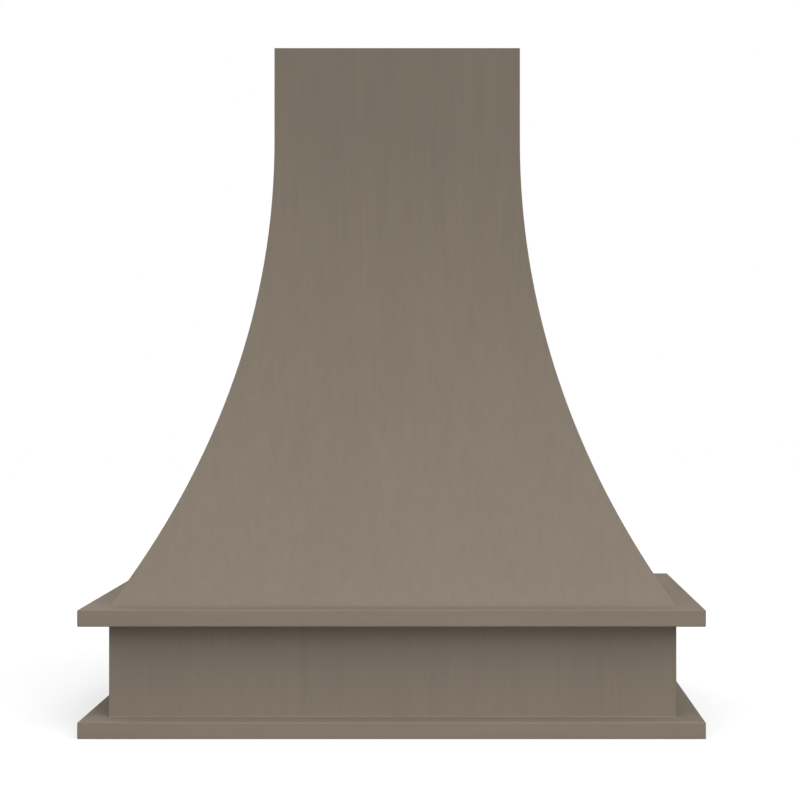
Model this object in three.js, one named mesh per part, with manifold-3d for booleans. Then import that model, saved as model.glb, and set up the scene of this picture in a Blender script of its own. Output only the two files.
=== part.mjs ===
// Wooden range hood cover: a bent plywood shell on ribs, over a boxed apron with two flat trims.
//
// Millimetres, +Z up. X runs along the wall, the wall is the plane y = 0 and the hood stands out from
// it towards -Y. Everything is drawn with levels counted from the hood's bottom edge and depths counted
// from the wall. The finished hood is then lowered, so that the origin lies on the wall at the middle
// of the lower mounting rail.

import * as THREE from 'three';
import { mergeVertices } from 'three/addons/utils/BufferGeometryUtils.js';
import Module from 'manifold-3d';

const wasm = await Module();
wasm.setup();

const INCH = 25.4;

// Overall size
const WIDTH = 42 * INCH; // over the trims
const DEPTH = 21 * INCH; // wall to the front of the trims
const HEIGHT = 48 * INCH;

// Apron and trims
const TRIM_THICKNESS = 1.125 * INCH;
const TRIM_PROJECTION = 1.75 * INCH;
const APRON_REVEAL = 6.375 * INCH; // the apron that shows between the two trims

// Chimney and sweep
const CHIMNEY_WIDTH = 17.75 * INCH;
const CHIMNEY_DEPTH = 12 * INCH;
const SWEEP_TOP = 41.25 * INCH; // level at which the chimney starts to flare
const SWEEP_STEPS = 32;

// Stock
const BOARD = 0.75 * INCH; // apron boards, ribs and rails
const SHEET = 0.375 * INCH; // bent plywood of the shell
const GLUE_LINE = 0.3; // left between pieces that meet

// Ribs behind the shell
const RIB_WIDTH = 1.5 * INCH; // square to the sweep
const HIP_WIDTH = 2 * INCH; // square to the corner line
const FRONT_RIB_X = 5 * INCH; // middle of the rib, from the hood's centre
const FRONT_JACK_X = 12 * INCH;
const SIDE_RIB_DEPTH = 5.5 * INCH; // back of the rib, from the wall
const SIDE_JACK_DEPTH = 12 * INCH;

// Frames and rails
const BASE_RAIL_WIDTH = 3 * INCH;
const TOP_RAIL_WIDTH = 1.5 * INCH;
const UPPER_RAIL_HEIGHT = 3.5 * INCH;
const MIDDLE_RAIL_HEIGHT = 3.5 * INCH;
const MIDDLE_RAIL_LEVEL = 26 * INCH; // bottom edge of the middle mounting rail
const LOWER_RAIL_HEIGHT = 5.5 * INCH;

// Insert support
const CUTOUT_WIDTH = 34 * INCH;
const CUTOUT_DEPTH = 14 * INCH;
const CUTOUT_BACK = 2.25 * INCH; // wall to the back edge of the cut-out
const CUTOUT_RADIUS = 0.5 * INCH;
const CLEAT_HEIGHT = 1.5 * INCH;
const GLUE_BLOCK_LEG = 1.5 * INCH;

// Levels and sizes that follow from those
const BODY_HALF = WIDTH / 2 - TRIM_PROJECTION;
const BODY_DEPTH = DEPTH - TRIM_PROJECTION;
const APRON_TOP = 2 * TRIM_THICKNESS + APRON_REVEAL;
const INNER_HALF = BODY_HALF - BOARD; // inside the apron boards
const INNER_DEPTH = BODY_DEPTH - BOARD;
const BASE_FRAME_LEVEL = APRON_TOP - BOARD;
const TOP_FRAME_LEVEL = HEIGHT - BOARD;
const LOWER_RAIL_LEVEL = BASE_FRAME_LEVEL - LOWER_RAIL_HEIGHT;
const LOWER_RAIL_CENTRE = LOWER_RAIL_LEVEL + LOWER_RAIL_HEIGHT / 2;
const INSERT_PANEL_LEVEL = LOWER_RAIL_LEVEL - BOARD;
const RIB_FOOT = APRON_TOP + GLUE_LINE;
const RIB_HEAD = TOP_FRAME_LEVEL - GLUE_LINE;
const RIB_FACE = SHEET + GLUE_LINE; // inset of a rib's curved edge from the outside of the shell
const MITRE_TRIM = GLUE_LINE * Math.SQRT1_2; // taken off each mitred piece along its length

const HANDS = [
  ['left', -1],
  ['right', 1],
];

const taupeFinish = { color: '#7d7366', roughness: 0.55, metalness: 0 };
const birchPlywood = { color: '#d2b68c', roughness: 0.75, metalness: 0 };
const poplar = { color: '#c9bd93', roughness: 0.7, metalness: 0 };

// ---------------------------------------------------------------------------------------------
// The sweep: at the sides a circular arc that leaves the chimney upright, and at the front the same
// arc drawn in by the ratio of the two runs, so that the corner line is straight when seen from above.

const SIDE_RUN = BODY_HALF - CHIMNEY_WIDTH / 2;
const FRONT_RUN = BODY_DEPTH - CHIMNEY_DEPTH;
const SWEEP_DROP = SWEEP_TOP - APRON_TOP;
const SWEEP_RADIUS = (SWEEP_DROP ** 2 + SIDE_RUN ** 2) / (2 * SIDE_RUN);
const SWEEP_ANGLE = Math.asin(SWEEP_DROP / SWEEP_RADIUS);

// Half-width (x) and depth (y) of the surface lying `inset` inside the shell, square to the sweep
function outlineAt(level, inset = 0) {
  const drop = Math.max(0, SWEEP_TOP - level);
  const reach = Math.sqrt(SWEEP_RADIUS ** 2 - drop ** 2);
  const flare = (SWEEP_RADIUS - reach) / SIDE_RUN;
  const lean = drop / reach / SIDE_RUN;
  const x = CHIMNEY_WIDTH / 2 + SIDE_RUN * flare - inset * Math.hypot(1, SIDE_RUN * lean);
  const y = CHIMNEY_DEPTH + FRONT_RUN * flare - inset * Math.hypot(1, FRONT_RUN * lean);
  return new THREE.Vector2(x, y);
}

// Levels from low to high, closely spaced in the sweep and none between in the straight chimney
function levelsBetween(low, high) {
  const levels = [low];
  for (let step = 0; step <= SWEEP_STEPS; step++) {
    const angle = SWEEP_ANGLE * (1 - step / SWEEP_STEPS);
    const level = SWEEP_TOP - SWEEP_RADIUS * Math.sin(angle);
    if (level > low + GLUE_LINE && level < high - GLUE_LINE) {
      levels.push(level);
    }
  }
  levels.push(high);
  return levels;
}

// ---------------------------------------------------------------------------------------------
// Ways of making a solid

// A solid through level sections. Each section is a plan outline with the same number of corners.
function loft(levels, planAt) {
  const plans = levels.map(planAt);
  if (THREE.ShapeUtils.isClockWise(plans[0])) {
    plans.forEach((plan) => plan.reverse());
  }
  const corners = plans[0].length;
  const positions = plans.flatMap((plan, i) => plan.flatMap((point) => [point.x, point.y, levels[i]]));
  const faces = [];
  for (let i = 0; i < levels.length - 1; i++) {
    for (let j = 0; j < corners; j++) {
      const here = i * corners + j;
      const next = i * corners + ((j + 1) % corners);
      faces.push(here, next, next + corners);
      faces.push(here, next + corners, here + corners);
    }
  }
  const top = (levels.length - 1) * corners;
  for (const [a, b, c] of THREE.ShapeUtils.triangulateShape(plans[0], [])) {
    faces.push(c, b, a);
    faces.push(top + a, top + b, top + c);
  }
  const geometry = new THREE.BufferGeometry();
  geometry.setAttribute('position', new THREE.Float32BufferAttribute(positions, 3));
  geometry.setIndex(faces);
  return faceted(geometry);
}

function faceted(geometry) {
  const flat = geometry.toNonIndexed();
  flat.computeVertexNormals();
  return flat;
}

function extrude(shape, depth) {
  return new THREE.ExtrudeGeometry(shape, { depth, bevelEnabled: false, curveSegments: 6 });
}

// A board lying level, drawn in plan, with its underside at z = 0
const layFlat = (shape, thickness) => extrude(shape, thickness);

// A board parallel to the wall, drawn as (x, level), with its back at y = 0
const standAlongWall = (shape, thickness) => extrude(shape, thickness).rotateX(Math.PI / 2);

// A board square to the wall, drawn as (depth, level), with its middle at x = 0
function standOffWall(shape, thickness) {
  const board = standAlongWall(shape, thickness).rotateZ(-Math.PI / 2);
  return board.translate(thickness / 2, 0, 0);
}

function asSolid(geometry) {
  const bare = geometry.clone();
  bare.deleteAttribute('normal');
  bare.deleteAttribute('uv');
  const merged = mergeVertices(bare);
  const mesh = new wasm.Mesh({
    numProp: 3,
    vertProperties: merged.attributes.position.array,
    triVerts: Uint32Array.from(merged.index.array),
  });
  return new wasm.Manifold(mesh);
}

function intersection(first, second) {
  const mesh = asSolid(first).intersect(asSolid(second)).getMesh();
  const geometry = new THREE.BufferGeometry();
  geometry.setAttribute('position', new THREE.BufferAttribute(mesh.vertProperties, 3));
  geometry.setIndex(new THREE.BufferAttribute(mesh.triVerts, 1));
  return faceted(geometry);
}

function addPiece(group, name, geometry, finish) {
  const piece = new THREE.Mesh(geometry, new THREE.MeshStandardMaterial(finish));
  piece.name = name;
  group.add(piece);
  return piece;
}

// ---------------------------------------------------------------------------------------------
// Shell: three bent sheets, mitred to each other along the two corner lines

function buildShell() {
  const shell = new THREE.Group();
  const levels = levelsBetween(RIB_FOOT, HEIGHT);

  const frontPlan = (level) => {
    const outside = outlineAt(level);
    const inside = outlineAt(level, SHEET);
    return [
      new THREE.Vector2(-outside.x + MITRE_TRIM, -outside.y),
      new THREE.Vector2(outside.x - MITRE_TRIM, -outside.y),
      new THREE.Vector2(inside.x - MITRE_TRIM, -inside.y),
      new THREE.Vector2(-inside.x + MITRE_TRIM, -inside.y),
    ];
  };
  addPiece(shell, 'front_panel', loft(levels, frontPlan), taupeFinish);

  for (const [side, hand] of HANDS) {
    const sidePlan = (level) => {
      const outside = outlineAt(level);
      const inside = outlineAt(level, SHEET);
      return [
        new THREE.Vector2(hand * outside.x, 0),
        new THREE.Vector2(hand * outside.x, -outside.y + MITRE_TRIM),
        new THREE.Vector2(hand * inside.x, -inside.y + MITRE_TRIM),
        new THREE.Vector2(hand * inside.x, 0),
      ];
    };
    addPiece(shell, `side_panel_${side}`, loft(levels, sidePlan), taupeFinish);
  }
  return shell;
}

// ---------------------------------------------------------------------------------------------
// Ribs: boards on edge, cut to the sweep. A hip rib stands under each corner line, and its outer edge
// is backed both ways so that it seats the front sheet and the side sheet. Jack ribs end against it.

const HIP_ALONG = new THREE.Vector2(SIDE_RUN, FRONT_RUN).normalize();
const HIP_ACROSS = new THREE.Vector2(-HIP_ALONG.y, HIP_ALONG.x); // towards the front sheet
const HIP_START = outlineAt(SWEEP_TOP, RIB_FACE);

// Point of the hip's plan, `along` its length and `across` its thickness from the chimney corner
function hipPoint(along, across) {
  return HIP_START.clone().addScaledVector(HIP_ALONG, along).addScaledVector(HIP_ACROSS, across);
}

function hipPlan(level) {
  const corner = outlineAt(level, RIB_FACE);
  const offset = corner.clone().sub(HIP_START);
  const half = BOARD / 2;
  const slope = (outlineAt(level).x - outlineAt(level + 1).x) / HIP_ALONG.x;
  const inner = offset.dot(HIP_ALONG) - HIP_WIDTH * Math.hypot(1, slope);
  const onFront = HIP_START.x + (HIP_ACROSS.y * offset.y - half) / HIP_ALONG.y;
  const onSide = HIP_START.y + (HIP_ALONG.y * offset.x - half) / HIP_ALONG.x;
  return [
    corner,
    new THREE.Vector2(onFront, corner.y),
    hipPoint(inner, half),
    hipPoint(inner, -half),
    new THREE.Vector2(corner.x, onSide),
  ];
}

// Curved edge against the shell, and an edge parallel to it on the inside
function ribShape(axis) {
  const levels = levelsBetween(RIB_FOOT, RIB_HEAD);
  const edge = (inset) => levels.map((level) => new THREE.Vector2(outlineAt(level, inset)[axis], level));
  return new THREE.Shape([...edge(RIB_FACE), ...edge(RIB_FACE + RIB_WIDTH).reverse()]);
}

// Plan area on one side of a hip rib: across = 1 in front of it, across = -1 beside it
function bayBeyondHip(hand, across) {
  const near = across * (BOARD / 2 + GLUE_LINE);
  const far = across * DEPTH;
  const corners = [
    hipPoint(-DEPTH, near),
    hipPoint(DEPTH, near),
    hipPoint(DEPTH, far),
    hipPoint(-DEPTH, far),
  ];
  return layFlat(new THREE.Shape(corners.map(({ x, y }) => new THREE.Vector2(hand * x, -y))), HEIGHT);
}

function buildRibs() {
  const ribs = new THREE.Group();
  const frontRib = standOffWall(ribShape('y'), BOARD);

  for (const [side, hand] of HANDS) {
    const sideOutline = ribShape('x').getPoints().map(({ x, y }) => new THREE.Vector2(hand * x, y));
    const sideRib = standAlongWall(new THREE.Shape(sideOutline), BOARD);

    const mirroredHip = (level) => hipPlan(level).map(({ x, y }) => new THREE.Vector2(hand * x, -y));
    addPiece(ribs, `hip_rib_${side}`, loft(levelsBetween(RIB_FOOT, RIB_HEAD), mirroredHip), birchPlywood);

    addPiece(ribs, `front_rib_${side}`, frontRib.clone(), birchPlywood).position.x = hand * FRONT_RIB_X;
    addPiece(ribs, `side_rib_${side}`, sideRib.clone(), birchPlywood).position.y = -SIDE_RIB_DEPTH;
    addPiece(ribs, `wall_rib_${side}`, sideRib, birchPlywood);

    const frontJackX = hand * FRONT_JACK_X;
    const frontBay = bayBeyondHip(hand, 1).translate(-frontJackX, 0, 0);
    const frontJack = intersection(frontRib, frontBay);
    addPiece(ribs, `front_jack_rib_${side}`, frontJack, birchPlywood).position.x = frontJackX;

    const sideBay = bayBeyondHip(hand, -1).translate(0, SIDE_JACK_DEPTH, 0);
    const sideJack = intersection(sideRib, sideBay);
    addPiece(ribs, `side_jack_rib_${side}`, sideJack, birchPlywood).position.y = -SIDE_JACK_DEPTH;
  }
  return ribs;
}

// ---------------------------------------------------------------------------------------------
// Level frames: four rails, half-lapped at the corners. The front and back rails keep their lower
// half at the ends and the side rails their upper half.

function lappedRail(length, lap, keepUpper) {
  const shoulder = lap + GLUE_LINE;
  const tongue = BOARD / 2 - GLUE_LINE / 2;
  const edge = [
    [0, 0],
    [length, 0],
    [length, tongue],
    [length - shoulder, tongue],
    [length - shoulder, BOARD],
    [shoulder, BOARD],
    [shoulder, tongue],
    [0, tongue],
  ];
  return new THREE.Shape(edge.map(([x, y]) => new THREE.Vector2(x, keepUpper ? BOARD - y : y)));
}

function buildLevelFrame(name, half, depth, railWidth, level) {
  const frame = new THREE.Group();
  frame.position.z = level;

  const crossRail = standAlongWall(lappedRail(2 * half, railWidth, false), railWidth);
  addPiece(frame, `${name}_rail_back`, crossRail, birchPlywood).position.x = -half;
  const frontRail = addPiece(frame, `${name}_rail_front`, crossRail.clone(), birchPlywood);
  frontRail.position.set(-half, railWidth - depth, 0);

  const sideRail = standOffWall(lappedRail(depth, railWidth, true), railWidth);
  for (const [side, hand] of HANDS) {
    const rail = addPiece(frame, `${name}_rail_${side}`, sideRail.clone(), birchPlywood);
    rail.position.x = hand * (half - railWidth / 2);
  }
  return frame;
}

// ---------------------------------------------------------------------------------------------
// Mounting rails across the back, which the wall screws go through

// A rail fitted between the two wall ribs, its ends cut to their inner edges
function railBetweenRibs(low, high) {
  const inset = RIB_FACE + RIB_WIDTH + GLUE_LINE;
  const levels = levelsBetween(low, high);
  const right = levels.map((level) => new THREE.Vector2(outlineAt(level, inset).x, level));
  const left = right.map(({ x, y }) => new THREE.Vector2(-x, y));
  return standAlongWall(new THREE.Shape([...right, ...left.reverse()]), BOARD);
}

function buildMountingRails() {
  const rails = new THREE.Group();
  const upper = railBetweenRibs(RIB_HEAD - UPPER_RAIL_HEIGHT, RIB_HEAD);
  addPiece(rails, 'upper_mounting_rail', upper, birchPlywood);

  const middle = railBetweenRibs(MIDDLE_RAIL_LEVEL, MIDDLE_RAIL_LEVEL + MIDDLE_RAIL_HEIGHT);
  addPiece(rails, 'middle_mounting_rail', middle, birchPlywood);

  const length = 2 * (INNER_HALF - GLUE_LINE);
  const height = LOWER_RAIL_HEIGHT - 2 * GLUE_LINE;
  const lower = new THREE.BoxGeometry(length, BOARD, height);
  const lowerRail = addPiece(rails, 'lower_mounting_rail', lower, birchPlywood);
  lowerRail.position.set(0, -BOARD / 2, LOWER_RAIL_CENTRE);
  return rails;
}

// ---------------------------------------------------------------------------------------------
// Bands round the front and both sides, mitred at the front corners: the apron and the two trims

function buildBand(name, half, depth, thickness, low, high) {
  const band = new THREE.Group();
  band.position.z = low;

  const front = new THREE.Shape([
    new THREE.Vector2(-half + MITRE_TRIM, -depth),
    new THREE.Vector2(half - MITRE_TRIM, -depth),
    new THREE.Vector2(half - thickness - MITRE_TRIM, thickness - depth),
    new THREE.Vector2(-half + thickness + MITRE_TRIM, thickness - depth),
  ]);
  addPiece(band, `${name}_front`, layFlat(front, high - low), taupeFinish);

  for (const [side, hand] of HANDS) {
    const board = new THREE.Shape([
      new THREE.Vector2(hand * half, 0),
      new THREE.Vector2(hand * half, MITRE_TRIM - depth),
      new THREE.Vector2(hand * (half - thickness), thickness + MITRE_TRIM - depth),
      new THREE.Vector2(hand * (half - thickness), 0),
    ]);
    addPiece(band, `${name}_${side}`, layFlat(board, high - low), taupeFinish);
  }
  return band;
}

// ---------------------------------------------------------------------------------------------
// Insert support: a plywood floor recessed in the apron, screwed up against cleats, with a cut-out
// for the ventilator insert, and glue blocks in the corners of the apron box

function roundedCutout(half, back, front, radius) {
  const cutout = new THREE.Path();
  cutout.moveTo(-half + radius, -back);
  cutout.absarc(-half + radius, -back - radius, radius, Math.PI / 2, Math.PI);
  cutout.absarc(-half + radius, -front + radius, radius, Math.PI, 1.5 * Math.PI);
  cutout.absarc(half - radius, -front + radius, radius, 1.5 * Math.PI, 2 * Math.PI);
  cutout.absarc(half - radius, -back - radius, radius, 0, Math.PI / 2);
  cutout.closePath();
  return cutout;
}

function buildInsertSupport() {
  const support = new THREE.Group();
  const half = INNER_HALF - GLUE_LINE;
  const depth = INNER_DEPTH - GLUE_LINE;

  const floor = new THREE.Shape([
    new THREE.Vector2(-half, 0),
    new THREE.Vector2(-half, -depth),
    new THREE.Vector2(half, -depth),
    new THREE.Vector2(half, 0),
  ]);
  floor.holes.push(roundedCutout(CUTOUT_WIDTH / 2, CUTOUT_BACK, CUTOUT_BACK + CUTOUT_DEPTH, CUTOUT_RADIUS));
  addPiece(support, 'insert_panel', layFlat(floor, BOARD), birchPlywood).position.z = INSERT_PANEL_LEVEL;

  const cleatLevel = LOWER_RAIL_LEVEL + GLUE_LINE + CLEAT_HEIGHT / 2;
  const frontCleat = new THREE.BoxGeometry(2 * half, BOARD, CLEAT_HEIGHT);
  const frontPiece = addPiece(support, 'insert_cleat_front', frontCleat, poplar);
  frontPiece.position.set(0, BOARD / 2 - depth, cleatLevel);

  const sideLength = depth - 2 * BOARD - 2 * GLUE_LINE;
  const sideCleat = new THREE.BoxGeometry(BOARD, sideLength, CLEAT_HEIGHT);
  for (const [side, hand] of HANDS) {
    const piece = addPiece(support, `insert_cleat_${side}`, sideCleat.clone(), poplar);
    piece.position.set(hand * (half - BOARD / 2), -depth / 2, cleatLevel);
  }

  const blockLow = LOWER_RAIL_LEVEL + CLEAT_HEIGHT + 2 * GLUE_LINE;
  const blockHeight = BASE_FRAME_LEVEL - GLUE_LINE - blockLow;
  const corners = [
    ['front', -depth, GLUE_BLOCK_LEG],
    ['rear', -BOARD - GLUE_LINE, -GLUE_BLOCK_LEG],
  ];
  for (const [end, y, leg] of corners) {
    for (const [side, hand] of HANDS) {
      const triangle = new THREE.Shape([
        new THREE.Vector2(hand * half, y),
        new THREE.Vector2(hand * (half - GLUE_BLOCK_LEG), y),
        new THREE.Vector2(hand * half, y + leg),
      ]);
      const block = addPiece(support, `${end}_glue_block_${side}`, layFlat(triangle, blockHeight), poplar);
      block.position.z = blockLow;
    }
  }
  return support;
}

// ---------------------------------------------------------------------------------------------
// The whole hood

const hood = new THREE.Group();
hood.position.z = -LOWER_RAIL_CENTRE;

const baseHalf = INNER_HALF - GLUE_LINE;
const baseDepth = INNER_DEPTH - GLUE_LINE;
const chimneyHalf = CHIMNEY_WIDTH / 2 - RIB_FACE;
const chimneyDepth = CHIMNEY_DEPTH - RIB_FACE;
const trimWidth = TRIM_PROJECTION - GLUE_LINE;

hood.add(buildShell());
hood.add(buildRibs());
hood.add(buildLevelFrame('base', baseHalf, baseDepth, BASE_RAIL_WIDTH, BASE_FRAME_LEVEL));
hood.add(buildLevelFrame('top', chimneyHalf, chimneyDepth, TOP_RAIL_WIDTH, TOP_FRAME_LEVEL));
hood.add(buildMountingRails());
hood.add(buildBand('apron', BODY_HALF, BODY_DEPTH, BOARD, 0, APRON_TOP));
hood.add(buildBand('upper_trim', WIDTH / 2, DEPTH, trimWidth, APRON_TOP - TRIM_THICKNESS, APRON_TOP));
hood.add(buildBand('lower_trim', WIDTH / 2, DEPTH, trimWidth, 0, TRIM_THICKNESS));
hood.add(buildInsertSupport());

const model = new THREE.Group();
model.add(hood);

export default model;
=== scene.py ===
"""Looks of the wooden range hood cover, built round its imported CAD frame. Metres, +Z up."""

import math
import random

import bmesh
import bpy
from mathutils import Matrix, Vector
from mathutils.geometry import tessellate_polygon


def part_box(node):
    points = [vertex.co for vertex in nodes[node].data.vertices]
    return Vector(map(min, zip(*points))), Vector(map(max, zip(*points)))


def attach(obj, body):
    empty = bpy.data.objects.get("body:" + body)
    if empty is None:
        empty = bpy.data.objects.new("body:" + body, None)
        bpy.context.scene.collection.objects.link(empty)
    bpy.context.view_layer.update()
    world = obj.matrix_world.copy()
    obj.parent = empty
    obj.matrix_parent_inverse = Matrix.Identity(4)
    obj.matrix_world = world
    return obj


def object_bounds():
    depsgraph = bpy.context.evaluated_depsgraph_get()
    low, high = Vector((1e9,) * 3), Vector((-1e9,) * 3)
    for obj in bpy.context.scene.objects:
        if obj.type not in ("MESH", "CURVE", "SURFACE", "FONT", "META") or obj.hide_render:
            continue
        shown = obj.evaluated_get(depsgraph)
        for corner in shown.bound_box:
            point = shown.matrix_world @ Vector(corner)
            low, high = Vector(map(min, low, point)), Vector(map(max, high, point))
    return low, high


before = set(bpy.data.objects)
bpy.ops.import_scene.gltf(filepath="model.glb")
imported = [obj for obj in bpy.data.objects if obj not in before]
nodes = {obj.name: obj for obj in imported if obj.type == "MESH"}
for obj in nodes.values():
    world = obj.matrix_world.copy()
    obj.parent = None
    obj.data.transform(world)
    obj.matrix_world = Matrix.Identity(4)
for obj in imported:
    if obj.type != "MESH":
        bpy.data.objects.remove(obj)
cad_low, cad_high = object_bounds()

MM = 0.001
INCH = 25.4 * MM

# ------------------------------------------------------------------ levels and sizes from the frame
bottom = cad_low.z
insert_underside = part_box("insert_panel")[0].z
sheet_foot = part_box("front_panel")[0].z
foot_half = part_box("side_panel_right")[1].x
foot_depth = -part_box("front_panel")[0].y
board = 0.75 * INCH
sheet = 0.375 * INCH
BOARD_PLIES = 13
SHEET_PLIES = 5

# The shell's sweep is a circular arc at the sides, which leaves the chimney upright
chimney_half = 17.75 / 2 * INCH
chimney_depth = 12 * INCH
sweep_top = bottom + 41.25 * INCH
sweep_run = foot_half - chimney_half
sweep_drop = sweep_top - sheet_foot
sweep_radius = (sweep_drop**2 + sweep_run**2) / (2 * sweep_run)

# ------------------------------------------------------------------ the photograph's camera
# Level and square to the wall. It stands a little to the right of the hood's middle, and the picture
# is a crop whose centre lies to the left of the camera's axis.
CAMERA_X = 0.126
CAMERA_DISTANCE = 3.300  # from the wall
CAMERA_HEIGHT = 0.606  # above the hood's bottom edge
SENSOR = 36.0
FOCAL_PX = 1631
AXIS_PX = (465.8, 382.0)
PICTURE_PX = 800


def make_camera():
    data = bpy.data.cameras.new("camera")
    data.sensor_width = SENSOR
    data.lens = FOCAL_PX / PICTURE_PX * SENSOR
    data.shift_x = (PICTURE_PX / 2 - AXIS_PX[0]) / PICTURE_PX
    data.shift_y = (AXIS_PX[1] - PICTURE_PX / 2) / PICTURE_PX
    camera = bpy.data.objects.new("camera", data)
    camera.location = (CAMERA_X, -CAMERA_DISTANCE, bottom + CAMERA_HEIGHT)
    camera.rotation_euler = (math.pi / 2, 0, 0)
    bpy.context.scene.collection.objects.link(camera)
    bpy.context.scene.camera = camera


# ------------------------------------------------------------------ node helpers
def add_node(tree, kind, inputs=None, **settings):
    """A shader node with its settings, its inputs set to values or linked to other nodes' sockets."""
    node = tree.nodes.new("ShaderNode" + kind)
    for name, value in settings.items():
        setattr(node, name, value)
    for key, value in (inputs or {}).items():
        if isinstance(value, bpy.types.NodeSocket):
            tree.links.new(value, node.inputs[key])
        else:
            node.inputs[key].default_value = value
    return node


def calc(tree, operation, first, second=0.0, third=0.0):
    return add_node(tree, "Math", {0: first, 1: second, 2: third}, operation=operation).outputs[0]


def dot(tree, vector, direction):
    return add_node(tree, "VectorMath", {0: vector, 1: direction}, operation="DOT_PRODUCT").outputs["Value"]


def length(tree, vector):
    return add_node(tree, "VectorMath", {0: vector}, operation="LENGTH").outputs["Value"]


def stretch(tree, vector, scale):
    return add_node(tree, "VectorMath", {0: vector, 1: scale}, operation="MULTIPLY").outputs[0]


def remap(tree, value, low, high, to_low=0.0, to_high=1.0):
    inputs = {"Value": value, "From Min": low, "From Max": high, "To Min": to_low, "To Max": to_high}
    return add_node(tree, "MapRange", inputs, clamp=True).outputs[0]


def noise(tree, vector, scale, detail=4.0, roughness=0.55, distortion=0.0):
    inputs = {
        "Vector": vector,
        "Scale": scale,
        "Detail": detail,
        "Roughness": roughness,
        "Distortion": distortion,
    }
    return add_node(tree, "TexNoise", inputs).outputs["Fac"]


def blend_colour(tree, factor, first, second, mode="MIX"):
    inputs = {"Factor": factor, 6: first, 7: second}
    return add_node(tree, "Mix", inputs, data_type="RGBA", blend_type=mode).outputs[2]


def grey(value):
    return (value, value, value, 1.0)


def linear(red, green, blue):
    """Colour written as sRGB bytes, as the shaders' linear colour."""
    parts = []
    for byte in (red, green, blue):
        share = byte / 255
        parts.append(share / 12.92 if share <= 0.04045 else ((share + 0.055) / 1.055) ** 2.4)
    return (*parts, 1.0)


def start_material(name):
    material = bpy.data.materials.new(name)
    material.use_nodes = True
    tree = material.node_tree
    tree.nodes.clear()
    return material, tree


def end_material(tree, colour, roughness, height, distance, specular=0.5, metallic=0.0):
    """Principled shader with bump from a height between 0 and 1 that stands for `distance` metres."""
    bump = add_node(tree, "Bump", {"Height": height, "Distance": distance, "Strength": 1.0})
    inputs = {
        "Base Color": colour,
        "Roughness": roughness,
        "Metallic": metallic,
        "Specular IOR Level": specular,
        "Normal": bump.outputs[0],
    }
    shader = add_node(tree, "BsdfPrincipled", inputs)
    add_node(tree, "OutputMaterial", {"Surface": shader.outputs[0]})


# Stretch of the wood's figure along the grain, by the axis that the grain runs along
GRAIN = {
    "x": (0.045, 1.0, 1.0),
    "y": (1.0, 0.045, 1.0),
    "z": (1.0, 1.0, 0.045),
}


# ------------------------------------------------------------------ finishes
# Each returns (colour, roughness, height) sockets, so that a board can carry two of them.
def taupe_paint(tree, place, grain, wear=0.25, tone=1.0):
    """Taupe of little gloss over close-grained wood, which shows as faint streaks and open pores.

    `wear` is the share of the paler, polished tone on the arrises."""
    along = stretch(tree, place, GRAIN[grain])
    streaks = noise(tree, along, 95.0, 5.0, 0.62, 0.25)
    figure = noise(tree, along, 17.0, 3.0, 0.5, 0.6)
    clouds = noise(tree, place, 2.6, 2.0, 0.5)
    pores = remap(tree, noise(tree, along, 620.0, 2.0, 0.5), 0.60, 0.72)
    peel = noise(tree, place, 850.0, 2.0, 0.5)

    deep = linear(121.5, 112, 100.5)
    light = linear(124.5, 115, 103)
    colour = blend_colour(tree, remap(tree, streaks, 0.36, 0.66), deep, light)
    # painted light where tone is above 1: a paler copy of the paint stands in for more light falling on the
    # board
    tint = remap(tree, figure, 0.3, 0.7, 0.985 * tone, 1.012 * tone)
    shade = calc(tree, "MULTIPLY", tint, remap(tree, clouds, 0.3, 0.7, 0.98, 1.02))
    shade = calc(tree, "MULTIPLY", shade, remap(tree, pores, 0.0, 1.0, 1.0, 0.97))
    colour = blend_colour(tree, 1.0, colour, shade, "MULTIPLY")

    normal = add_node(tree, "NewGeometry").outputs["Normal"]
    eased = add_node(tree, "Bevel", {"Radius": 1.6 * MM}, samples=4).outputs[0]
    worn = remap(tree, dot(tree, normal, eased), 0.99, 0.86, 0.0, wear)
    worn = calc(tree, "MULTIPLY", worn, remap(tree, noise(tree, place, 38.0, 3.0), 0.42, 0.62))
    colour = blend_colour(tree, worn, colour, linear(150, 139, 125))

    roughness = remap(tree, streaks, 0.3, 0.7, 0.76, 0.84)
    roughness = calc(tree, "ADD", roughness, remap(tree, clouds, 0.3, 0.7, -0.03, 0.03))
    height = calc(tree, "MULTIPLY_ADD", streaks, 0.5, calc(tree, "MULTIPLY", peel, 0.25))
    height = calc(tree, "SUBTRACT", height, calc(tree, "MULTIPLY", pores, 0.35))
    return colour, roughness, height


def bare_veneer(tree, place, grain, light, deep):
    """A rotary-cut face veneer: broad soft figure with fine flecks along the grain."""
    along = stretch(tree, place, GRAIN[grain])
    figure = noise(tree, along, 24.0, 4.0, 0.55, 1.4)
    rings = calc(tree, "FRACT", calc(tree, "MULTIPLY", figure, 7.0))
    rings = calc(tree, "PINGPONG", rings, 0.5)
    flecks = noise(tree, along, 420.0, 3.0, 0.6)
    tone = calc(tree, "MULTIPLY_ADD", rings, 0.9, calc(tree, "MULTIPLY", flecks, 0.6))
    colour = blend_colour(tree, remap(tree, tone, 0.25, 0.8), light, deep)
    roughness = remap(tree, flecks, 0.3, 0.7, 0.62, 0.74)
    height = calc(tree, "MULTIPLY_ADD", flecks, 0.7, calc(tree, "MULTIPLY", rings, 0.3))
    return colour, roughness, height


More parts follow.
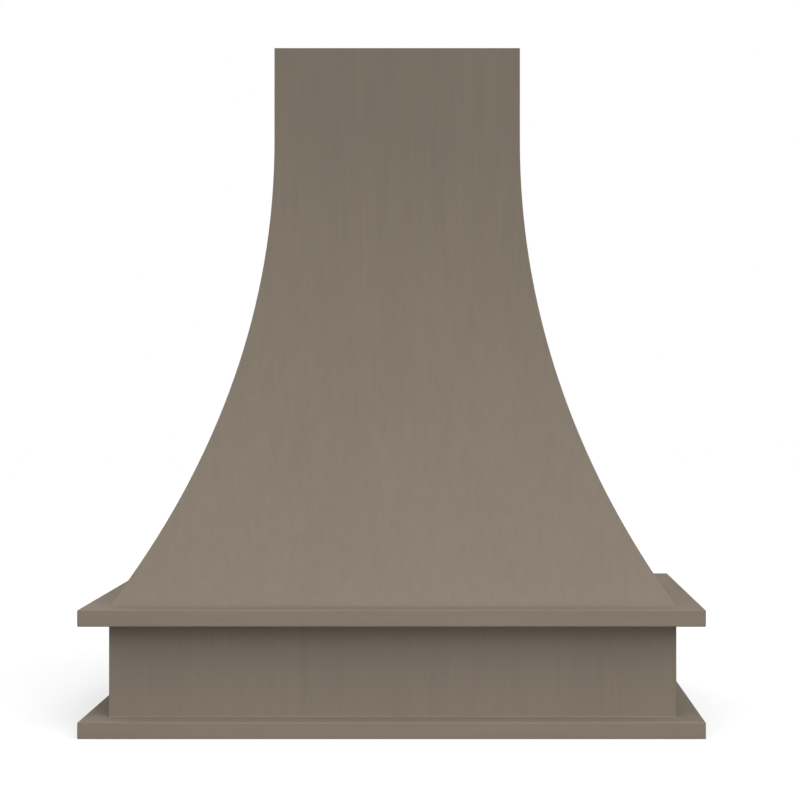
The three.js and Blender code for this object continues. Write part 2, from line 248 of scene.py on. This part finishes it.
def ply_edge(tree, depth, plies, thickness, place):
    """Stacked plies on a cut edge: depth runs from 0 to thickness through the board."""
    count = calc(tree, "MULTIPLY", depth, plies / thickness)
    inside = calc(tree, "FRACT", count)
    crossed = calc(tree, "GREATER_THAN", calc(tree, "FRACT", calc(tree, "MULTIPLY", count, 0.5)), 0.5)
    fibres = noise(tree, place, 700.0, 3.0, 0.6)
    pale = blend_colour(tree, fibres, linear(219, 192, 152), linear(203, 173, 130))
    dark = blend_colour(tree, fibres, linear(186, 150, 107), linear(160, 124, 84))
    colour = blend_colour(tree, crossed, pale, dark)
    seam = remap(tree, calc(tree, "PINGPONG", inside, 0.5), 0.0, 0.09, 1.0, 0.0)
    colour = blend_colour(tree, calc(tree, "MULTIPLY", seam, 0.75), colour, linear(104, 76, 50))
    roughness = remap(tree, fibres, 0.2, 0.8, 0.75, 0.9)
    height = calc(tree, "SUBTRACT", calc(tree, "MULTIPLY", fibres, 0.8), seam)
    return colour, roughness, height


def ply_cut(across, offset):
    """Cut edge of a plywood board whose plies are stacked along `across`, from `offset` onwards."""
    def finish(tree, place):
        depth = calc(tree, "SUBTRACT", dot(tree, place, across), offset)
        return ply_edge(tree, depth, BOARD_PLIES, board, place)

    return finish


def end_grain(tree, place):
    """Solid poplar sawn across: growth rings round a heart below the board, with fine pores."""
    heart = add_node(tree, "VectorMath", {0: place, 1: (0.021, 0, bottom - 0.06)}, operation="SUBTRACT")
    radius = length(tree, stretch(tree, heart.outputs[0], (0.35, 0, 1)))
    wobble = calc(tree, "MULTIPLY", noise(tree, place, 60.0, 2.0), 3.0 * MM)
    years = calc(tree, "DIVIDE", calc(tree, "ADD", radius, wobble), 3.4 * MM)
    ring = calc(tree, "POWER", calc(tree, "FRACT", years), 3.0)
    pores = noise(tree, place, 1500.0, 2.0, 0.6)
    tone = calc(tree, "MULTIPLY_ADD", ring, 0.6, calc(tree, "MULTIPLY", pores, 0.7))
    colour = blend_colour(tree, remap(tree, tone, 0.2, 0.9), linear(199, 180, 141), linear(164, 143, 106))
    roughness = remap(tree, pores, 0.2, 0.8, 0.78, 0.92)
    height = calc(tree, "SUBTRACT", pores, calc(tree, "MULTIPLY", ring, 0.3))
    return colour, roughness, height


def lay_over(tree, factor, under, over):
    """The finish `over` where factor is 1, and `under` where it is 0."""
    colour = blend_colour(tree, factor, under[0], over[0])
    roughness = add_node(tree, "Mix", {"Factor": factor, 2: under[1], 3: over[1]}).outputs[0]
    height = add_node(tree, "Mix", {"Factor": factor, 2: under[2], 3: over[2]}).outputs[0]
    return colour, roughness, height


TAUPE_SPECULAR = 0.06
TRIM_PAINTED_LIGHT = 1.06  # painted light: the trims are painted paler than the plywood, standing in for the extra light on their fascias and ledges
BIRCH = (linear(222, 198, 160), linear(203, 173, 130))
BENDING_PLY = (linear(201, 166, 126), linear(178, 140, 101))


def object_place(tree):
    return add_node(tree, "TexCoord").outputs["Object"]


def true_normal(tree):
    return add_node(tree, "NewGeometry").outputs["True Normal"]


def facing(tree, direction, low=0.45, high=0.55):
    """1 where the surface faces `direction`, and 0 elsewhere."""
    return remap(tree, dot(tree, true_normal(tree), direction), low, high)


def birch_board_material(name, across, offset, grain):
    """Plywood board whose plies are stacked along the unit vector `across`, from `offset` onwards."""
    material, tree = start_material(name)
    place = object_place(tree)
    face = bare_veneer(tree, place, grain, *BIRCH)
    edge = ply_cut(across, offset)(tree, place)
    on_face = calc(tree, "ABSOLUTE", dot(tree, true_normal(tree), across))
    on_edge = remap(tree, on_face, 0.55, 0.45)
    end_material(tree, *lay_over(tree, on_edge, face, edge), 0.12 * MM)
    return material


def poplar_material(name, grain):
    """Planed poplar: straight pale grain in broad bands."""
    material, tree = start_material(name)
    place = object_place(tree)
    along = stretch(tree, place, GRAIN[grain])
    bands = noise(tree, along, 30.0, 3.0, 0.5, 0.8)
    flecks = noise(tree, along, 380.0, 3.0, 0.6)
    tone = calc(tree, "MULTIPLY_ADD", bands, 0.7, calc(tree, "MULTIPLY", flecks, 0.35))
    colour = blend_colour(tree, remap(tree, tone, 0.3, 0.75), linear(214, 197, 160), linear(192, 172, 132))
    roughness = remap(tree, flecks, 0.3, 0.7, 0.55, 0.68)
    end_material(tree, colour, roughness, flecks, 0.1 * MM)
    return material


def shell_material(name, outward, inset):
    """Bent sheet: taupe outside, bare inside, with its plies showing on the cut edges.

    `inset` gives the depth of a point behind the outside, from the tree and the place."""
    material, tree = start_material(name)
    place = object_place(tree)
    paint = taupe_paint(tree, place, "z")
    raw = bare_veneer(tree, place, "z", *BENDING_PLY)
    edge = ply_edge(tree, inset(tree, place), SHEET_PLIES, sheet, place)
    outside = facing(tree, outward, 0.1, 0.2)
    top = facing(tree, (0, 0, 1), 0.85, 0.95)
    back = facing(tree, (0, 1, 0), 0.85, 0.95)
    cut = calc(tree, "MAXIMUM", top, back) if outward[0] else top
    finish = lay_over(tree, outside, raw, paint)
    end_material(tree, *lay_over(tree, cut, finish, edge), 0.06 * MM, TAUPE_SPECULAR)
    return material


def side_inset(hand):
    """Depth behind the outside of a side panel, measured from the centre of its arc."""
    def inset(tree, place):
        axes = add_node(tree, "SeparateXYZ", {0: place})
        centre = chimney_half + sweep_radius
        out = calc(tree, "SUBTRACT", centre, calc(tree, "MULTIPLY", axes.outputs[0], hand))
        below = calc(tree, "MAXIMUM", calc(tree, "SUBTRACT", sweep_top, axes.outputs[2]), 0.0)
        reach = add_node(tree, "CombineXYZ", {0: out, 2: below}).outputs[0]
        return calc(tree, "SUBTRACT", length(tree, reach), sweep_radius)

    return inset


def front_inset(tree, place):
    return calc(tree, "ADD", dot(tree, place, (0, 1, 0)), chimney_depth)


def painted_board_material(name, grain, cut, bare_ends=True, bare_inside=None, tone=1.0):
    """Taupe board. Its ends on the wall stay bare, and so does the inside above `bare_inside`.

    `cut` makes the finish of a bare cut edge, from the tree and the place."""
    material, tree = start_material(name)
    place = object_place(tree)
    finish = taupe_paint(tree, place, grain, tone=tone)
    edge = cut(tree, place)
    if bare_inside is not None:
        level, inward = bare_inside
        raw = bare_veneer(tree, place, grain, *BIRCH)
        above = remap(tree, dot(tree, place, (0, 0, 1)), level - MM, level + MM)
        inside = calc(tree, "MULTIPLY", facing(tree, inward, 0.85, 0.95), above)
        finish = lay_over(tree, inside, finish, raw)
        finish = lay_over(tree, facing(tree, (0, 0, 1)), finish, edge)
    if bare_ends:
        finish = lay_over(tree, facing(tree, (0, 1, 0)), finish, edge)
    end_material(tree, *finish, 0.06 * MM, TAUPE_SPECULAR)
    return material


# ------------------------------------------------------------------ the CAD nodes' finishes
def dress(name, material):
    node = nodes[name]
    node.data.materials.clear()
    node.data.materials.append(material)


def across_of(name):
    """Unit vector through a board's thickness, and where the board starts along it."""
    low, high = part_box(name)
    size = high - low
    thin = min(range(3), key=lambda i: size[i])
    direction = Vector((0, 0, 0))
    direction[thin] = 1
    return tuple(direction), low[thin]


def grain_of(name):
    """The axis that a board's length runs along."""
    low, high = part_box(name)
    size = high - low
    return "xyz"[max(range(3), key=lambda i: size[i])]


def hip_across(hand):
    """The hip ribs stand on the diagonal from the chimney's corner to the apron's corner."""
    along = Vector((sweep_run, chimney_depth - foot_depth, 0)).normalized()
    direction = Vector((-along.y * hand, along.x, 0))
    rib = nodes["hip_rib_right" if hand > 0 else "hip_rib_left"]
    return tuple(direction), min(direction.dot(vertex.co) for vertex in rib.data.vertices)


def dress_nodes():
    for name in nodes:
        if "hip_rib" in name:
            across, offset = hip_across(1 if name.endswith("right") else -1)
            dress(name, birch_board_material("birch_" + name, across, offset, "z"))
        elif "rib" in name:
            dress(name, birch_board_material("birch_" + name, *across_of(name), "z"))
        elif "_rail" in name or name == "insert_panel":
            dress(name, birch_board_material("birch_" + name, *across_of(name), grain_of(name)))
        elif "cleat" in name or "block" in name:
            dress(name, poplar_material("poplar_" + name, grain_of(name)))

    dress("front_panel", shell_material("shell_front", (0, -1, 0), front_inset))
    dress("side_panel_left", shell_material("shell_left", (-1, 0, 0), side_inset(-1)))
    dress("side_panel_right", shell_material("shell_right", (1, 0, 0), side_inset(1)))

    for side, hand in (("left", -1), ("right", 1)):
        name = "apron_" + side
        inside = (insert_underside, (-hand, 0, 0))
        cut = ply_cut(*across_of(name))
        dress(name, painted_board_material("taupe_" + name, "z", cut, bare_inside=inside))
    inside = (insert_underside, (0, 1, 0))
    cut = ply_cut(*across_of("apron_front"))
    dress("apron_front", painted_board_material("taupe_apron_front", "z", cut, False, inside))

    for level in ("upper", "lower"):
        name = f"{level}_trim_front"
        # painted light: the trims get a paler copy of the paint, standing in for the extra light on them
        dress(name, painted_board_material("taupe_" + name, "x", end_grain, False, tone=TRIM_PAINTED_LIGHT))
        for side in ("left", "right"):
            name = f"{level}_trim_{side}"
            dress(name, painted_board_material("taupe_" + name, "y", end_grain, tone=TRIM_PAINTED_LIGHT))


# ------------------------------------------------------------------ eased edges and smooth shading
ARRIS_ANGLE = math.radians(30)


def new_geometry_group(name):
    group = bpy.data.node_groups.new(name, "GeometryNodeTree")
    group.interface.new_socket("Geometry", in_out="INPUT", socket_type="NodeSocketGeometry")
    group.interface.new_socket("Geometry", in_out="OUTPUT", socket_type="NodeSocketGeometry")
    return group, group.nodes.new("NodeGroupInput").outputs[0], group.nodes.new("NodeGroupOutput").inputs[0]


def sharp_edges(group):
    """True on the edges whose faces turn by more than the arris angle."""
    angle = group.nodes.new("GeometryNodeInputMeshEdgeAngle")
    sharp = group.nodes.new("FunctionNodeCompare")
    sharp.operation = "GREATER_THAN"
    sharp.inputs[1].default_value = ARRIS_ANGLE
    group.links.new(angle.outputs["Unsigned Angle"], sharp.inputs[0])
    return sharp.outputs[0]


def smooth_by_angle():
    """Shades a mesh smooth, apart from its sharp edges."""
    group, start, end = new_geometry_group("smooth_by_angle")
    faces = group.nodes.new("GeometryNodeSetShadeSmooth")
    edges = group.nodes.new("GeometryNodeSetShadeSmooth")
    edges.domain = "EDGE"
    edges.inputs["Shade Smooth"].default_value = False
    link = group.links.new
    link(start, faces.inputs["Geometry"])
    link(faces.outputs[0], edges.inputs["Geometry"])
    link(sharp_edges(group), edges.inputs["Selection"])
    link(edges.outputs[0], end)
    return group


def mark_arrises(name, planes):
    """Marks for rounding the sharp edges that lie in one of each plane group's planes.

    `planes` lists groups of (axis, place). An edge is marked if every group has a plane that goes
    through the edge's middle."""
    group, start, end = new_geometry_group("arrises_" + name)
    link = group.links.new
    middle = group.nodes.new("ShaderNodeSeparateXYZ")
    link(group.nodes.new("GeometryNodeInputPosition").outputs[0], middle.inputs[0])

    def join(operation, first, second):
        both = group.nodes.new("FunctionNodeBooleanMath")
        both.operation = operation
        link(first, both.inputs[0])
        link(second, both.inputs[1])
        return both.outputs[0]

    chosen = sharp_edges(group)
    for options in planes:
        found = None
        for axis, place in options:
            near = group.nodes.new("FunctionNodeCompare")
            near.operation = "EQUAL"
            near.inputs[1].default_value = place
            near.inputs["Epsilon"].default_value = 0.2 * MM
            link(middle.outputs["xyz".index(axis)], near.inputs[0])
            found = near.outputs[0] if found is None else join("OR", found, near.outputs[0])
        chosen = join("AND", chosen, found)

    store = group.nodes.new("GeometryNodeStoreNamedAttribute")
    store.data_type = "FLOAT"
    store.domain = "EDGE"
    store.inputs["Name"].default_value = "bevel_weight_edge"
    store.inputs["Value"].default_value = 1.0
    link(start, store.inputs["Geometry"])
    link(chosen, store.inputs["Selection"])
    link(store.outputs[0], end)
    return group


def merge_facets(node):
    """Joins the split corners, and the triangles of each flat face."""
    weld = node.modifiers.new("weld", "WELD")
    weld.merge_threshold = 0.01 * MM
    flat = node.modifiers.new("flat_faces", "DECIMATE")
    flat.decimate_type = "DISSOLVE"
    flat.angle_limit = math.radians(0.2)


def round_edges(node, width, segments, arrises=None):
    """Eases every sharp edge, or only those that the group `arrises` marks."""
    if arrises:
        marks = node.modifiers.new("arrises", "NODES")
        marks.node_group = arrises
    bevel = node.modifiers.new("eased_edges", "BEVEL")
    bevel.width = width
    bevel.segments = segments
    bevel.limit_method = "WEIGHT" if arrises else "ANGLE"
    bevel.angle_limit = ARRIS_ANGLE


def shade_smooth(node, shading):
    smooth = node.modifiers.new("smooth_by_angle", "NODES")
    smooth.node_group = shading
    level = node.modifiers.new("flat_stays_flat", "WEIGHTED_NORMAL")
    level.keep_sharp = True


def finish_edges(shading):
    front = cad_low.y
    for name, node in nodes.items():
        low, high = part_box(name)
        merge_facets(node)
        if "trim" in name:
            outer = [("y", front)] if name.endswith("front") else [("x", low.x if low.x < 0 else high.x)]
            levels = [("z", low.z), ("z", high.z)]
            round_edges(node, 1.6 * MM, 4, mark_arrises(name, (outer, levels)))
        elif "apron" in name:
            round_edges(node, 0.8 * MM, 2, mark_arrises(name, ([("z", low.z)],)))
        elif "panel" not in name or name == "insert_panel":
            round_edges(node, 0.6 * MM, 2)
        shade_smooth(node, shading)


# ------------------------------------------------------------------ filled joints and screws
def add_piece(name, points, faces, material, slot=None):
    """A closed mesh that rides with the hood."""
    mesh = bpy.data.meshes.new(name)
    mesh.from_pydata(points, [], faces)
    mesh.materials.append(material)
    shape = bmesh.new()
    shape.from_mesh(mesh)
    bmesh.ops.recalc_face_normals(shape, faces=shape.faces)
    shape.to_mesh(mesh)
    shape.free()
    piece = bpy.data.objects.new(name, mesh)
    bpy.context.scene.collection.objects.link(piece)
    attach(piece, "root")
    return piece


def loft(sections):
    """Points and faces of a solid through sections with the same number of corners."""
    corners = len(sections[0])
    points = [point for section in sections for point in section]
    last = len(points) - corners
    faces = [tuple(range(corners)), tuple(range(last, last + corners))]
    for start in range(0, last, corners):
        for i in range(corners):
            j = (i + 1) % corners
            faces.append((start + i, start + j, start + corners + j, start + corners + i))
    return points, faces


def fill_ledge_joint(name, half, depth, level, side_lean, front_lean, material):
    """Filler drawn into the corner where the hood's sides and front meet the ledge round their foot.

    `half` and `depth` place the foot, and a lean is the run inwards for each unit of height."""
    size = 2.5 * MM
    bite = 0.05 * MM  # keeps its thin edges inside the wood
    steps = 12
    profile = [(-bite, -bite)]
    for step in range(steps + 1):
        turn = math.radians(90 / steps * step)
        profile.append((size * (1 - math.sin(turn)) - bite, size * (1 - math.cos(turn)) - bite))
    sections = []
    for hand, on_wall in ((-1, True), (-1, False), (1, False), (1, True)):
        section = []
        for out, up in profile:
            x = half + out - side_lean * up
            y = depth + out - front_lean * up
            section.append((hand * x, 0.0 if on_wall else -y, level + up))
        sections.append(section)
    return add_piece(name, *loft(sections), material, "taupe_finish")


def corner_line(name, rank):
    """The highest-ranking corner of a bent sheet's plan at each of the sheet's levels, going up."""
    best = {}
    for vertex in nodes[name].data.vertices:
        level = round(vertex.co.z / MM, 1)
        if level not in best or rank(vertex.co) > rank(best[level]):
            best[level] = vertex.co.copy()
    return [best[level] for level in sorted(best)]


def fill_shell_mitre(side, hand, material):
    """Glue and filler in the mitre between the front sheet and a side sheet, flush with both."""
    panel = "side_panel_" + side
    lines = [
        corner_line("front_panel", lambda p: (round(-p.y, 5), hand * p.x)),
        corner_line(panel, lambda p: (round(hand * p.x, 5), -p.y)),
        corner_line(panel, lambda p: (round(-hand * p.x, 5), -p.y)),
        corner_line("front_panel", lambda p: (round(p.y, 5), hand * p.x)),
    ]
    sections = []
    for front, beside, beside_inner, front_inner in zip(*lines):
        tip = (beside.x, front.y, front.z)
        sections.append([tuple(front), tip, tuple(beside), tuple(beside_inner), tuple(front_inner)])
    return add_piece("mitre_filler_" + side, *loft(sections), material, "taupe_finish")


def screw_head(centre, turn):
    """Points and faces of a countersunk head with a cross recess, seen from below."""
    radius = 4.1 * MM
    proud = 0.35 * MM
    buried = 0.5 * MM
    sides = 32
    arm = 2.2 * MM
    slot = 0.55 * MM
    deep = 1.6 * MM
    taper = 0.62  # the recess's floor against its mouth
    rings = [(radius, -buried), (radius, proud - 0.15 * MM), (radius - 0.25 * MM, proud)]
    cross = []
    for quarter in range(4):
        c = math.cos(quarter * math.pi / 2 + turn)
        s = math.sin(quarter * math.pi / 2 + turn)
        for along, beside in ((slot, -slot), (arm, -slot), (arm, slot)):
            cross.append((along * c - beside * s, along * s + beside * c))

    def circle(reach):
        steps = [2 * math.pi * i / sides for i in range(sides)]
        return [(reach * math.cos(a), reach * math.sin(a)) for a in steps]

    points = [(x, y, height) for reach, height in rings for x, y in circle(reach)]
    faces = [tuple(range(sides))]
    for start in (0, sides):
        for i in range(sides):
            j = (i + 1) % sides
            faces.append((start + i, start + j, start + sides + j, start + sides + i))
    top = 2 * sides
    mouth = len(points)
    points += [(x, y, proud) for x, y in cross]
    outline = [Vector((*points[top + i][:2], 0)) for i in range(sides)]
    hole = [Vector((x, y, 0)) for x, y in cross]
    for triangle in tessellate_polygon([outline, hole]):
        faces.append(tuple(top + i if i < sides else mouth + i - sides for i in triangle))
    floor = len(points)
    points += [(x * taper, y * taper, proud - deep) for x, y in cross]
    corners = len(cross)
    for i in range(corners):
        j = (i + 1) % corners
        faces.append((mouth + i, mouth + j, floor + j, floor + i))
    faces.append(tuple(range(floor, floor + corners)))
    placed = [(centre.x + x, centre.y + y, centre.z - height) for x, y, height in points]
    return placed, faces


def add_screws(name, centres, material, draw):
    points = []
    faces = []
    for centre in centres:
        some, joined = screw_head(centre, draw.uniform(0, math.pi / 2))
        faces += [tuple(len(points) + i for i in face) for face in joined]
        points += some
    return add_piece(name, points, faces, material)


def spread(low, high, count):
    return [low + (high - low) * i / (count - 1) for i in range(count)]


def insert_panel_screws():
    """Through the insert panel's rim, up into the cleats and the lower mounting rail."""
    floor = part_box("insert_panel")[0].z
    centres = []
    for name, count in (("insert_cleat_front", 6), ("lower_mounting_rail", 6)):
        low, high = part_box(name)
        middle = (low.y + high.y) / 2
        centres += [Vector((x, middle, floor)) for x in spread(low.x + 0.04, high.x - 0.04, count)]
    for name in ("insert_cleat_left", "insert_cleat_right"):
        low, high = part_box(name)
        middle = (low.x + high.x) / 2
        centres += [Vector((middle, y, floor)) for y in spread(low.y + 0.05, high.y - 0.05, 3)]
    return centres


def base_frame_screws():
    """Through the base frame, up into the foot of each rib."""
    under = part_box("base_rail_front")[0].z
    centres = []
    for name, node in nodes.items():
        if "rib" in name:
            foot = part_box(name)[0].z
            feet = [v.co for v in node.data.vertices if v.co.z < foot + 0.1 * MM]
            middle = sum(feet, Vector()) / len(feet)
            centres.append(Vector((middle.x, middle.y, under)))
    return centres


def zinc_material():
    """Zinc-plated steel: dull passivated grey with fine scratches and darker traces."""
    material, tree = start_material("zinc_screw")
    place = object_place(tree)
    cloudy = noise(tree, place, 900.0, 3.0, 0.6)
    scratches = noise(tree, stretch(tree, place, (1.0, 0.06, 1.0)), 4200.0, 2.0, 0.6)
    colour = blend_colour(tree, remap(tree, cloudy, 0.3, 0.7), linear(158, 156, 146), linear(186, 184, 176))
    roughness = remap(tree, scratches, 0.3, 0.7, 0.26, 0.46)
    end_material(tree, colour, roughness, scratches, 0.02 * MM, metallic=1.0)
    return material


def painted_filler_material():
    material, tree = start_material("taupe_filler")
    end_material(tree, *taupe_paint(tree, object_place(tree), "x", 0.0), 0.04 * MM, TAUPE_SPECULAR)
    return material


def add_small_pieces():
    filler = painted_filler_material()
    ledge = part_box("upper_trim_front")[1].z
    side_lean = sweep_drop / (sweep_radius - sweep_run)
    front_lean = side_lean * (foot_depth - chimney_depth) / sweep_run
    half = foot_half + side_lean * (sheet_foot - ledge)
    depth = foot_depth + front_lean * (sheet_foot - ledge)
    made = [fill_ledge_joint("sweep_foot_filler", half, depth, ledge, side_lean, front_lean, filler)]

    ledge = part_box("lower_trim_front")[1].z
    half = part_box("apron_right")[1].x
    depth = -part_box("apron_front")[0].y
    made.append(fill_ledge_joint("apron_foot_filler", half, depth, ledge, 0.0, 0.0, filler))

    for side, hand in (("left", -1), ("right", 1)):
        made.append(fill_shell_mitre(side, hand, filler))

    zinc = zinc_material()
    draw = random.Random(7)
    made.append(add_screws("insert_panel_screws", insert_panel_screws(), zinc, draw))
    made.append(add_screws("base_frame_screws", base_frame_screws(), zinc, draw))
    return made


# ------------------------------------------------------------------ the stage
WORLD_FILL = 0.58
FLOOR_BOUNCE = 0.08
FLOOR_SHADE = 0.5
FLOOR_GLOW = 0.5


def seen_directly(tree):
    """1 for rays from the camera, and for those mirrored or let through, and 0 for the light's own."""
    rays = add_node(tree, "LightPath").outputs
    seen = calc(tree, "MAXIMUM", rays["Is Camera Ray"], rays["Is Glossy Ray"])
    return calc(tree, "MAXIMUM", seen, rays["Is Transmission Ray"])


def make_stage():
    size = 14.0
    mesh = bpy.data.meshes.new("floor")
    shape = bmesh.new()
    bmesh.ops.create_grid(shape, x_segments=1, y_segments=1, size=size / 2)
    shape.to_mesh(mesh)
    shape.free()
    floor = bpy.data.objects.new("floor", mesh)
    floor.location = (0, 0, bottom)
    bpy.context.scene.collection.objects.link(floor)
    # Seen directly it is white with the hood's soft shadow; the light that it throws back is dimmer
    material, tree = start_material("floor_white")
    seen = seen_directly(tree)
    shade = {"Color": blend_colour(tree, seen, grey(FLOOR_BOUNCE), grey(FLOOR_SHADE)), "Roughness": 0.0}
    lit = add_node(tree, "BsdfDiffuse", shade)
    strength = calc(tree, "MULTIPLY", seen, FLOOR_GLOW)
    glow = add_node(tree, "Emission", {"Color": grey(1.0), "Strength": strength})
    both = add_node(tree, "AddShader", {0: lit.outputs[0], 1: glow.outputs[0]})
    add_node(tree, "OutputMaterial", {"Surface": both.outputs[0]})
    mesh.materials.append(material)


def make_world():
    world = bpy.data.worlds.new("studio")
    bpy.context.scene.world = world
    world.use_nodes = True
    tree = world.node_tree
    tree.nodes.clear()
    seen = seen_directly(tree)
    fill = add_node(tree, "Background", {"Color": grey(1.0), "Strength": WORLD_FILL})
    white = add_node(tree, "Background", {"Color": grey(1.0), "Strength": 1.0})
    either = add_node(tree, "MixShader", {0: seen, 1: fill.outputs[0], 2: white.outputs[0]})
    add_node(tree, "OutputWorld", {"Surface": either.outputs[0]})


def add_sun(name, azimuth, elevation, spread, strength):
    """Soft light from far away: azimuth 0 shines from the front, and 90 from the right."""
    data = bpy.data.lights.new(name, "SUN")
    data.energy = strength
    data.angle = math.radians(spread)
    lamp = bpy.data.objects.new(name, data)
    turn = math.radians(azimuth)
    lift = math.radians(elevation)
    source = Vector((math.sin(turn) * math.cos(lift), -math.cos(turn) * math.cos(lift), math.sin(lift)))
    lamp.rotation_euler = source.to_track_quat("Z", "Y").to_euler()
    bpy.context.scene.collection.objects.link(lamp)


def add_panel_light(name, place, target, width, height, power):
    """Rectangular soft box at `place`, turned to `target`."""
    data = bpy.data.lights.new(name, "AREA")
    data.shape = "RECTANGLE"
    data.size = width
    data.size_y = height
    data.energy = power
    lamp = bpy.data.objects.new(name, data)
    lamp.location = place
    lamp.rotation_euler = (Vector(place) - Vector(target)).to_track_quat("Z", "Y").to_euler()
    bpy.context.scene.collection.objects.link(lamp)


make_camera()
dress_nodes()
shading = smooth_by_angle()
finish_edges(shading)
for piece in add_small_pieces():
    shade_smooth(piece, shading)
make_stage()
make_world()
add_sun("overhead", 0, 70, 40, 0.4)
add_sun("from_the_right", 45, 41, 60, 1.85)
add_sun("from_the_left", -55, 25, 40, 0.4)
add_sun("from_behind", -140, 0, 40, 1.8)
add_panel_light("low_front", (0.15, -2.2, bottom + 0.2), (0, -0.4, bottom + 0.1), 1.6, 0.4, 8.8)

scene = bpy.context.scene
scene.view_settings.view_transform = "Standard"
